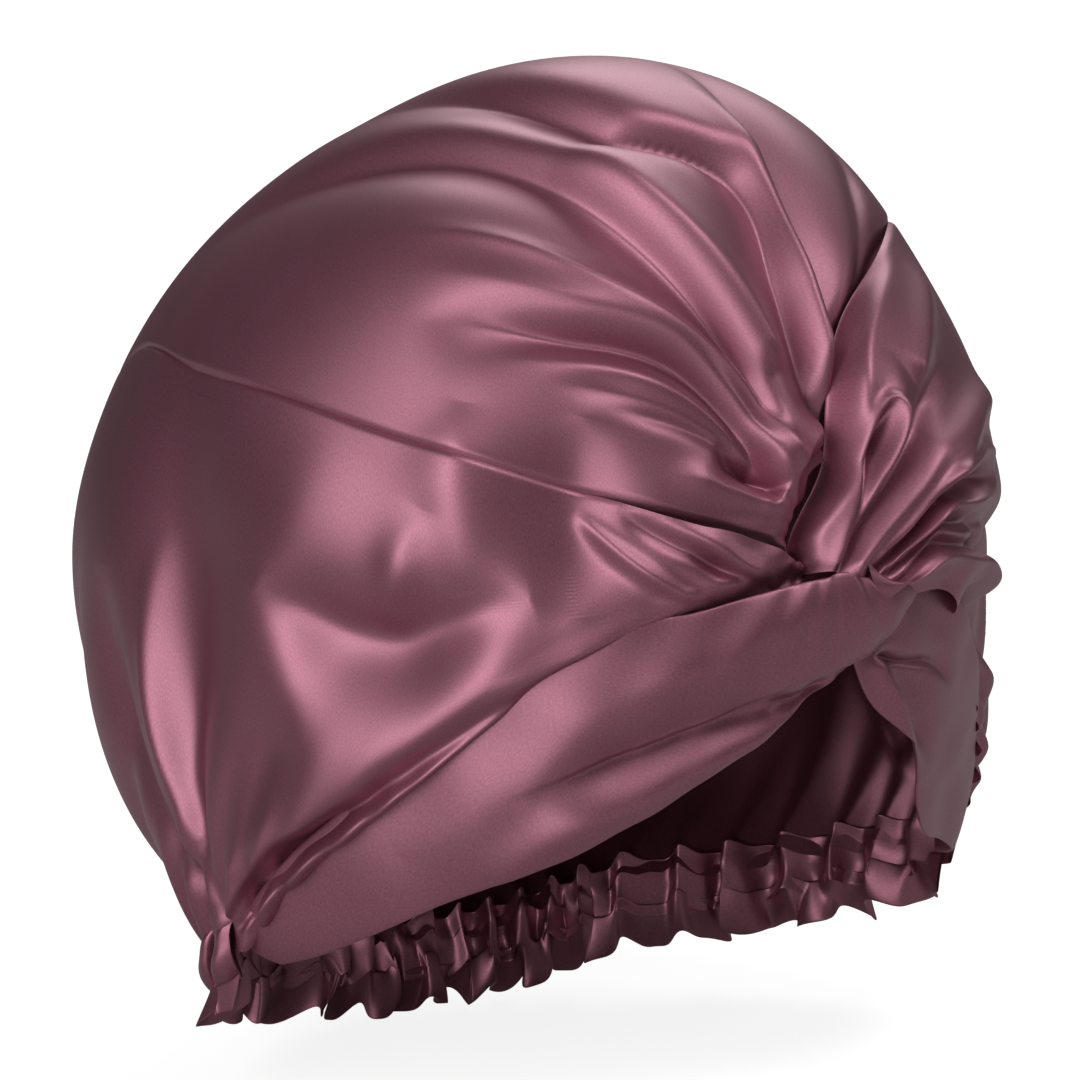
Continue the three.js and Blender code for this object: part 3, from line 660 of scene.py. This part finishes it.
def right_panel():
    spot = panel_grid(SEAM_RIGHT, EDGE_RIGHT, RIGHT_GRID, RIGHT_START, None, RIGHT_UNDER)
    out, shift = folded(SIDE_FOLDS + BACK_FOLDS, spot)
    out += stroked(SIDE_STROKES + SHARED_STROKES, spot)
    out += hem_relief(spot) + ripples(spot)
    out += seam_groove(spot, SEAM_RIGHT) * smooth((spot.reach - RIGHT_SEAM_FROM) / SEAM_FADE)
    beyond = spot.reach - SHOULDER_REACH
    far = np.where(beyond > 0, bell(beyond / SHOULDER_FAR), 1)
    out += SHOULDER_HIGH * bell(beyond / SHOULDER_NEAR) * far
    out += twist_hole(spot, RIGHT_HOLE_DEPTH, RIGHT_HOLE_RADIUS)
    to_edge = (along(EDGE_RIGHT, spot.reach) - spot.bearing) * spot.across
    near_twist = smooth((RIGHT_TUCK_FROM - spot.reach) / RIGHT_TUCK_OVER)
    out += near_twist * sunk(-to_edge, *RIGHT_TUCK)
    rolled = LIP_DROP * np.exp(-np.maximum(to_edge, 0) / LIP_ROLL)
    out += (1 - near_twist) * (LIP_HIGH * smooth((LIP_WIDTH - to_edge) / LIP_WIDTH) - rolled)
    return spot.points(out, shift)


# The left side, whose front is the bundle: its bulge, the wall at its edge over the crown, the
# tuck beneath the band, and how its end is drawn down behind the front band
LEFT_GRID = (280, 330)
LEFT_UNDER = [(3, 14), (13, 14), (20, 9), (26, 4), (34, 3), (92.5, 0)]
BUNDLE_HIGH = 9
BUNDLE_REACH = 12
BUNDLE_SPREAD = 15
BUNDLE_BEARING = -70
BUNDLE_TURN = 62
BUNDLE_FLATNESS = 3
WALL_FROM = 34
WALL_OVER = 10
WALL_RISE = 2.5
WALL_FOOT = 5
WALL_WIDTH = 2.6
BUNDLE_TUCK_FROM = 30
BUNDLE_TUCK_OVER = 8
BUNDLE_TUCK = (4, 6, 8)
BUNDLE_START = 5.5
BUNDLE_DRAWN_FROM = 18
BUNDLE_DRAWN = np.array([-3.0, 2, -21])
DRAWN_LOWEST = -130
DRAWN_OVER = 50


def left_panel():
    spot = panel_grid(EDGE_LEFT, SEAM_LEFT, LEFT_GRID, BUNDLE_START, LEFT_UNDER, None)
    out, shift = folded(BUNDLE_FOLDS + mirrored(GATHER_FOLDS) + mirrored(BACK_FOLDS), spot)
    turn = (spot.bearing - BUNDLE_BEARING) / BUNDLE_TURN
    out += BUNDLE_HIGH * bell((spot.reach - BUNDLE_REACH) / BUNDLE_SPREAD) * bell(turn, BUNDLE_FLATNESS)
    out += stroked(BUNDLE_STROKES, spot)
    out += hem_relief(spot) + ripples(spot)
    off = np.maximum(along(SEAM_LEFT, spot.reach) - spot.bearing, 0) * spot.across
    near = smooth((WALL_FROM - spot.reach) / WALL_OVER)
    out = mix(out + near * WALL_RISE, twist_hole(spot) - WALL_FOOT, near * bell(off / WALL_WIDTH))
    out += seam_groove(spot, SEAM_LEFT) * (1 - near)
    to_edge = (spot.bearing - along(EDGE_LEFT, spot.reach)) * spot.across
    out += smooth((BUNDLE_TUCK_FROM - spot.reach) / BUNDLE_TUCK_OVER) * sunk(-to_edge, *BUNDLE_TUCK)
    drawn = smooth((BUNDLE_DRAWN_FROM - spot.reach) / (BUNDLE_DRAWN_FROM - BUNDLE_START))
    drawn = drawn * smooth((spot.bearing - DRAWN_LOWEST) / DRAWN_OVER)
    return spot.points(out, shift) + drawn[..., None] * BUNDLE_DRAWN


# The front bands, from the gather to the twist. upper is how far beyond the foot of the twist
# the upper edge is (below zero it has passed the twist), lower is (reach, bearing) of the lower
# edge, layer the share of its width that the outer of its two layers covers, rise its share of
# the rise at the twist.
TWIST_FOOT = 4.6
TWIST_RISE = 9
RISE_FROM = 0.35
BAND_SET_IN = 2.2
LAYER_STEP = 2.6
LAYER_STARTS = 0.5
LAYER_EASE = 0.15
LAYER_LINE = 1.4
BAND_RIGHT = [
    dict(upper=88, lower=(95, 54.5), layer=0.1, rise=0),
    dict(upper=81, lower=(92.5, 63), layer=0.15, rise=0),
    dict(upper=68, lower=(85, 78), layer=0.3, rise=0),
    dict(upper=51, lower=(73.6, 98.5), layer=0.5, rise=0),
    dict(upper=33, lower=(59.6, 120), layer=0.62, rise=0.1),
    dict(upper=18, lower=(46, 138.5), layer=0.68, rise=0.35),
    dict(upper=4, lower=(31.5, 165), layer=0.72, rise=0.8),
    dict(upper=0, lower=(25.5, 190), layer=0.78, rise=1),
    dict(upper=-4, lower=(22.5, 208), layer=0.95, rise=0.9),
    dict(upper=-9, lower=(21.5, 228), layer=1.1, rise=0.7),
    dict(upper=-15, lower=(20.8, 248), layer=1.1, rise=0.3),
]
BAND_LEFT = [
    dict(upper=83.8, lower=(91.5, 63), layer=0, rise=0),
    dict(upper=76, lower=(90.5, 72), layer=0, rise=0),
    dict(upper=62, lower=(87, 90), layer=0, rise=0),
    dict(upper=46, lower=(81, 110), layer=0, rise=0),
    dict(upper=34, lower=(71, 121), layer=0, rise=0),
    dict(upper=28, lower=(53, 127), layer=0, rise=0),
    dict(upper=23, lower=(42, 140), layer=0, rise=0),
    dict(upper=19, lower=(32, 153), layer=0, rise=0),
    dict(upper=15, lower=(21, 160), layer=0, rise=0),
]


def round_trip(rows):
    """Places round a closed strip: the share of its width, and sine, above zero on its outer face."""
    turn = np.linspace(0, 2 * np.pi, 2 * rows, endpoint=False)[None, :]
    return (1 - np.cos(turn)) / 2, np.sin(turn)


def thickness(face, thick):
    """How far a strip's two faces lie from its middle, round at its edges."""
    return thick / 2 * np.sign(face) * np.abs(face) ** 0.5


def band(stations, near, far, sign, size, thick, folds, strokes, tuck):
    """A folded band: its outer face, the fold along its lower edge and its inner face."""
    columns, rows = size
    share = np.linspace(0, 1, len(stations))

    def column(pick):
        return [(s, pick(station)) for s, station in zip(share, stations)]

    u = np.linspace(0, 1, columns)[:, None]
    v, face = round_trip(rows)
    beyond = along(column(lambda s: s["upper"]), u)
    upper_reach = TWIST_FOOT + np.abs(beyond)
    edge = np.abs(along(near, upper_reach))
    far_edge = 360 - np.abs(along(far, upper_reach))
    edge = np.where(beyond < 0, far_edge, edge)
    under = tuck(u) / Spot(upper_reach, edge).across
    reach = mix(upper_reach, along(column(lambda s: s["lower"][0]), u), v)
    bearing = mix(edge - under, along(column(lambda s: s["lower"][1]), u), v)
    spot = Spot(reach, sign * bearing)
    layer = along(column(lambda s: s["layer"]), u)
    rise = along(column(lambda s: s["rise"]), u)
    flat = spot.points(np.zeros(spot.reach.shape))
    width = np.linalg.norm(flat[:, :1] - flat[:, rows:rows + 1], axis=-1)
    deep = LAYER_STEP * smooth((layer - LAYER_STARTS) / LAYER_EASE)
    step = deep * (smooth((layer - v) * width / LAYER_LINE + 0.5) - 1)
    raised = TWIST_RISE * rise * np.sin(np.pi * mix(RISE_FROM, 1, v))
    out = raised - BAND_SET_IN + thickness(face, thick) + step
    folded_out, shift = folded(folds, spot)
    out = out + folded_out + stroked(strokes, spot) + ripples(spot, BAND_RIPPLE)
    return spot.points(out, shift)


RIGHT_BAND_STROKES = [
    # The soft crest of the outer layer, the wedge in its shadow and the crest by the lower fold
    dict(line=[(78, 72, 8, 0), (68, 82, 12, 2.5), (54, 92, 14, 3.5), (36, 102, 9, 3), (17, 126, 6, 1)]),
    dict(line=[(63, 90, 3, 0), (56, 99, 6, -2.5), (50, 109, 8, -4), (41, 125, 8, -4.5), (32, 147, 7, -4),
               (25, 178, 4, -2)]),
    dict(line=[(80, 88, 6, 0), (70, 95, 8, 3), (61, 106, 8, 4.5), (52, 119, 7, 4.5), (42, 136, 6, 4),
               (32, 162, 5, 3), (26, 188, 4, 1)]),
    dict(line=[(30, 150, 2, 0), (29, 163, 2.4, -2.5), (26, 178, 2.4, -3), (24, 192, 2, -1)]),
]


# The bands: columns and rows, thickness, and how far their upper edge goes on beneath the cloth
# above, which the right band does over the first half of its way only
RIGHT_BAND_GRID = (400, 84)
RIGHT_BAND_THICK = 2.6
RIGHT_BAND_TUCK = 9
RIGHT_BAND_TUCK_OVER = 0.12
LEFT_BAND_GRID = (280, 70)
LEFT_BAND_THICK = 2.4
LEFT_BAND_TUCK = 2


def right_band():
    def tuck(u):
        return np.where(u < 0.5, RIGHT_BAND_TUCK * smooth((0.5 - u) / RIGHT_BAND_TUCK_OVER), 0.0)

    return band(BAND_RIGHT, EDGE_RIGHT, EDGE_LEFT, 1, RIGHT_BAND_GRID, RIGHT_BAND_THICK, [],
                RIGHT_BAND_STROKES, tuck)


def left_band():
    def tuck(u):
        return 0 * u + LEFT_BAND_TUCK

    return band(BAND_LEFT, EDGE_LEFT, EDGE_RIGHT, -1, LEFT_BAND_GRID, LEFT_BAND_THICK, LEFT_BAND_FOLDS,
                [], tuck)


# The strips under the hem: how far they go on past the gathers in degrees, how far they are set
# in, the flat patch at the join, and the grid, thickness and overlap of each
STRIP_BEYOND = 0.3
STRIP_SET_IN = 0.8
FLAT_PATCH_BEARING = -30
FLAT_PATCH_HALF = 4.5
CASING_GRID = (900, 24)
CASING_THICK = 1.6
CASING_OVERLAP = 6
RUFFLE_GRID = (1000, 26)
RUFFLE_THICK = 0.8
RUFFLE_OVERLAP = 3.5


def hem_strip(top, width, thick, size, shape):
    """A gathered strip under the hem, as a thin closed sleeve of cloth. shape gives how far each
    place stands out, aside and down, from its bearing, its share of the way down, and how far it
    is from the flat patch, where it is zero."""
    columns, rows = size
    u = np.linspace(0, 1, columns)[:, None]
    v, face = round_trip(rows)
    bearing = mix(GATHER_RIGHT + STRIP_BEYOND, GATHER_LEFT - STRIP_BEYOND, u)
    spot = Spot(hem_reach(bearing), bearing)
    r = spot.r + hem_relief(spot) - STRIP_SET_IN
    base = MIDDLE + spot.d * r[..., None]
    level = spot.d * np.array([1, 1, 0])
    level = level / np.linalg.norm(level, axis=-1)[..., None]
    beside = np.cross(level, np.array([0, 0, 1]))
    patch = 1 - bell((bearing - FLAT_PATCH_BEARING) / FLAT_PATCH_HALF)
    out, side, drop = shape(bearing, v, patch)
    down = top + width * v + drop
    out = out + thickness(face, thick)
    return base + level * out[..., None] + beside * side[..., None] - np.array([0, 0, 1]) * down[..., None]


def pleat_phase(phase):
    """The phase of the pleats, which run unevenly beside the gathers."""
    return 0.8 * phase + 1.3 * np.sin(0.37 * phase + 1)


# The casing: how far its pleats, gathers and belly stand out, how far and over which share of its
# width its top lies outside the hem, and its unevenness aside and down
CASING_PLEAT = 1.5
CASING_PLEAT_SLANT = 1.6
CASING_PLEAT_LEAST = 0.4
CASING_GATHER = 0.7
CASING_BELLY = 1.8
CASING_TOP = 2.0
CASING_TOP_SHARE = 0.45
CASING_ASIDE = 1.1
CASING_ASIDE_LEAST = 0.2
CASING_DOWN = 0.6


def casing_shape(bearing, v, patch):
    phase = hem_phase(bearing)
    belly = np.sin(np.pi * v)
    pleats = pleat_phase(phase)
    pleat = CASING_PLEAT * np.sin(pleats + CASING_PLEAT_SLANT * v) * (CASING_PLEAT_LEAST + belly)
    out = patch * (pleat + CASING_GATHER * np.sin(phase)) + CASING_BELLY * belly
    out = out + CASING_TOP * (1 - smooth(v / CASING_TOP_SHARE))
    aside = patch * CASING_ASIDE * np.sin(2 * pleats + 2.4 * v + 0.5) * mix(CASING_ASIDE_LEAST, 1, v)
    down = patch * CASING_DOWN * np.sin(1.3 * phase) * belly
    return out, aside, down


# The frill: its waves' height at its top and what it grows by, how much they differ, its flare,
# what is left of the casing's pleats at its top, and its unevenness aside and down
RUFFLE_TOP_HIGH = 0.6
RUFFLE_GROWS = 3.6
RUFFLE_DIFFERS = 0.35
RUFFLE_FLARE = 2.0
RUFFLE_PLEAT = 1.2
RUFFLE_ASIDE = 1.9
RUFFLE_TOP_ASIDE = 1.1
RUFFLE_DOWN = 1.1
RUFFLE_FINE_DOWN = 0.3


def ruffle_shape(bearing, v, patch):
    share = hem_share(bearing)
    wide = np.pi * RUFFLE_WAVES * (share + 1) + waves(RUFFLE_UNEVEN, share)
    pleats = pleat_phase(hem_phase(bearing))
    size = (RUFFLE_TOP_HIGH + RUFFLE_GROWS * v) * (1 + RUFFLE_DIFFERS * np.sin(0.7 * wide + 1))
    pleat = RUFFLE_PLEAT * np.sin(pleats + CASING_PLEAT_SLANT) * (1 - v) ** 1.5
    out = patch * (pleat + size * np.sin(wide)) + RUFFLE_FLARE * v * v
    aside = patch * (RUFFLE_ASIDE * v * np.sin(2 * wide + 0.4)
                     + RUFFLE_TOP_ASIDE * (1 - v) * np.sin(2 * pleats + 2.9))
    down = patch * v * v * (RUFFLE_DOWN * np.sin(wide + 1.1) + RUFFLE_FINE_DOWN * np.sin(2.3 * wide))
    return out, aside, down


def casing():
    return hem_strip(-CASING_OVERLAP, CASING_WIDTH + CASING_OVERLAP, CASING_THICK, CASING_GRID, casing_shape)


def ruffle():
    return hem_strip(CASING_WIDTH - RUFFLE_OVERLAP, RUFFLE_WIDTH + RUFFLE_OVERLAP, RUFFLE_THICK, RUFFLE_GRID,
                     ruffle_shape)


# The sheets of cloth, each standing for a node
cloth("crown_cloth", crown_panel(), "crown_panel", SATIN)
cloth("right_side_cloth", right_panel(), "right_side_panel", SATIN)
cloth("left_side_cloth", left_panel(), "left_side_panel", SATIN)
cloth("right_band_cloth", right_band(), "right_front_band", SATIN,
      closed=True)
cloth("left_band_cloth", left_band(), "left_front_band", SATIN,
      closed=True)
cloth("nape_casing_cloth", casing(), "nape_casing", HEM_SATIN, closed=True)
cloth("nape_ruffle_cloth", ruffle(), "nape_ruffle", HEM_SATIN, closed=True)


# The studio
FLOOR_UP = -0.041
FLOOR_HALF = 12
FLOOR_GREY = 0.5
FLOOR_ROUGHNESS = 0.9
FLOOR_GLOW = 0.86
WORLD_GLOW = 0.06
AIM = Vector((0, 0.033, 0.089))
CAMERA_AZIMUTH = -35
CAMERA_ELEVATION = 11.4
CAMERA_DISTANCE = 5.0
FRAME_WIDTH = 0.2842
FRAME_MIDDLE_RIGHT = -0.0235
FRAME_MIDDLE_UP = 0.0984
SENSOR_WIDTH = 36
CLIP_END = 100

# The lights: azimuth and elevation in degrees, distance and size in metres, power in watts
LIGHTS = [
    dict(name="key", azimuth=-67, elevation=26, distance=1.6, size=(0.65, 1.25), power=10.5),
    dict(name="top_right", azimuth=18, elevation=62, distance=1.6, size=(0.8, 0.6), power=7),
    dict(name="right_fill", azimuth=60, elevation=26, distance=1.8, size=(0.6, 0.9), power=2),
    dict(name="back", azimuth=135, elevation=40, distance=1.8, size=(1.1, 1.0), power=8),
    dict(name="front_low", azimuth=-46, elevation=0, distance=2.0, size=(0.9, 0.3), power=5),
]


def way(azimuth, elevation):
    a, e = math.radians(azimuth), math.radians(elevation)
    return Vector((math.sin(a) * math.cos(e), -math.cos(a) * math.cos(e), math.sin(e)))


def make_camera():
    back = way(CAMERA_AZIMUTH, CAMERA_ELEVATION)
    right = Vector((math.cos(math.radians(CAMERA_AZIMUTH)), math.sin(math.radians(CAMERA_AZIMUTH)), 0))
    up = back.cross(right)
    target = right * FRAME_MIDDLE_RIGHT + up * FRAME_MIDDLE_UP + back * AIM.dot(back)
    data = bpy.data.cameras.new("camera")
    data.sensor_width = SENSOR_WIDTH
    data.lens = SENSOR_WIDTH * CAMERA_DISTANCE / FRAME_WIDTH
    data.clip_end = CLIP_END
    camera = bpy.data.objects.new("camera", data)
    camera.location = target + back * CAMERA_DISTANCE
    camera.rotation_mode = "QUATERNION"
    camera.rotation_quaternion = (-back).to_track_quat("-Z", "Y")
    bpy.context.scene.collection.objects.link(camera)
    bpy.context.scene.camera = camera


def softbox(name, azimuth, elevation, distance, size, power):
    data = bpy.data.lights.new(name, "AREA")
    data.shape = "RECTANGLE"
    data.size, data.size_y = size
    data.energy = power
    light = bpy.data.objects.new(name, data)
    back = way(azimuth, elevation)
    light.location = AIM + back * distance
    light.rotation_mode = "QUATERNION"
    light.rotation_quaternion = (-back).to_track_quat("-Z", "Y")
    light.visible_camera = False
    bpy.context.scene.collection.objects.link(light)


def make_floor():
    mesh = bpy.data.meshes.new("floor")
    corners = [(-1, -1), (1, -1), (1, 1), (-1, 1)]
    mesh.from_pydata([(x * FLOOR_HALF, y * FLOOR_HALF, FLOOR_UP) for x, y in corners], [], [(0, 1, 2, 3)])
    material = bpy.data.materials.new("pale_floor")
    material.use_nodes = True
    shader = material.node_tree.nodes["Principled BSDF"]
    shader.inputs["Base Color"].default_value = (FLOOR_GREY, FLOOR_GREY, FLOOR_GREY, 1)
    shader.inputs["Roughness"].default_value = FLOOR_ROUGHNESS
    shader.inputs["Specular IOR Level"].default_value = 0
    shader.inputs["Emission Color"].default_value = (1, 1, 1, 1)
    path = material.node_tree.nodes.new("ShaderNodeLightPath")
    glow = material.node_tree.nodes.new("ShaderNodeMath")
    glow.operation = "MULTIPLY"
    glow.inputs[1].default_value = FLOOR_GLOW
    material.node_tree.links.new(path.outputs["Is Camera Ray"], glow.inputs[0])
    material.node_tree.links.new(glow.outputs["Value"], shader.inputs["Emission Strength"])
    mesh.materials.append(material)
    floor = bpy.data.objects.new("floor", mesh)
    bpy.context.scene.collection.objects.link(floor)


def make_world():
    world = bpy.data.worlds.new("studio")
    world.use_nodes = True
    background = world.node_tree.nodes["Background"]
    background.inputs["Color"].default_value = (1, 1, 1, 1)
    background.inputs["Strength"].default_value = WORLD_GLOW
    bpy.context.scene.world = world


make_camera()
for light in LIGHTS:
    softbox(**light)
make_floor()
make_world()
bpy.context.scene.view_settings.view_transform = "Standard"
